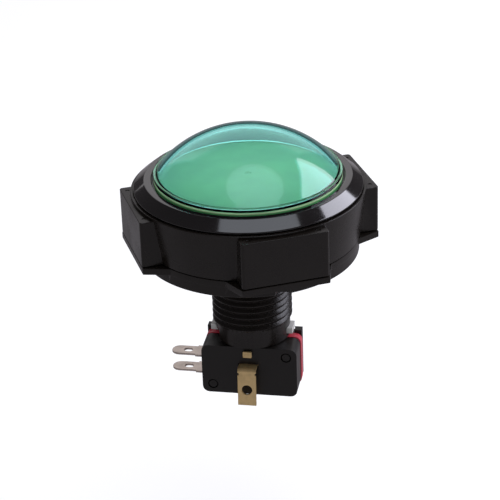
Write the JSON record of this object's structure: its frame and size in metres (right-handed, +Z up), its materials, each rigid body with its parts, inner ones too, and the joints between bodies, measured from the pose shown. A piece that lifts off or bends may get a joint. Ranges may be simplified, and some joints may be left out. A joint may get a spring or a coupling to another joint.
{
  "type": "illuminated dome push button",
  "caption": "Large illuminated dome push button for a quiz or game table, with a threaded panel neck, bayonet lamp holder and snap-action switch.",
  "frame": {"origin": "on the main axis, at the flat underside of the base that rests on the panel", "axes": "+Z up through the dome; the four lugs face along +X, -X, +Y and -Y; the switch block is turned 26.5 degrees about Z"},
  "size_m": [0.0706, 0.0706, 0.0831],
  "materials": {
    "dome_lens": "clear turquoise tinted plastic, polished",
    "diffuser": "green translucent, satin",
    "white_plastic": "moulded satin",
    "spring_steel": "drawn wire",
    "bezel_gloss": "polished black",
    "housing_black": "moulded semi-gloss black",
    "screw_steel": "zinc plated",
    "lamp_glass": "clear",
    "brass": "stamped, bright",
    "switch_black": "moulded satin black",
    "switch_red": "moulded red",
    "silver_plate": "silver plated, slightly dull"
  },
  "bodies": {
    "housing": {"housing_ring": "housing_black", "base_body": "housing_black", "bezel_ring": "bezel_gloss", "base_screw_1": "screw_steel", "base_screw_2": "screw_steel", "base_screw_3": "screw_steel", "base_screw_4": "screw_steel", "return_spring": "spring_steel"},
    "button": {"slider": "white_plastic", "diffuser_plate": "diffuser", "dome_lens": "dome_lens"},
    "holder": {"lamp_socket": "white_plastic", "lamp_base": "white_plastic", "lamp_bulb": "lamp_glass", "lamp_contact_left": "brass", "lamp_contact_right": "brass", "switch_holder": "switch_black", "microswitch_case": "switch_black", "microswitch_cover": "switch_red", "nc_terminal": "silver_plate", "no_terminal": "silver_plate", "nc_contact": "silver_plate", "no_contact": "silver_plate", "com_terminal": "brass", "com_rivet": "brass"},
    "plunger": {"microswitch_plunger": "switch_red"},
    "blade": {"snap_blade": "brass", "moving_contact": "silver_plate"}
  },
  "joints": [
    {"name": "button_press", "type": "slide", "parent": "housing", "child": "button", "axis": [0, 0, -1], "range_m": [0, 0.003], "stiffness_N_per_m": 250, "springref_m": -0.006, "deforming": ["return_spring"]},
    {"name": "holder_twist", "type": "hinge", "parent": "housing", "child": "holder", "pos_m": [0, 0, -0.028], "axis": [0, 0, 1], "range_deg": [0, 20]},
    {"name": "plunger_press", "type": "slide", "parent": "holder", "child": "plunger", "axis": [0, 0, -1], "range_m": [0, 0.001]},
    {"name": "blade_swing", "type": "hinge", "parent": "holder", "child": "blade", "pos_m": [0.00869, -0.01059, -0.03505], "axis": [-0.4462, -0.8949, 0], "range_deg": [0, 3.4]}
  ],
  "couplings": [
    {"joint": "plunger_press", "follows": "button_press", "ratio": 0.33333},
    {"joint": "blade_swing", "follows": "button_press", "rad_per_m": 18.35}
  ]
}
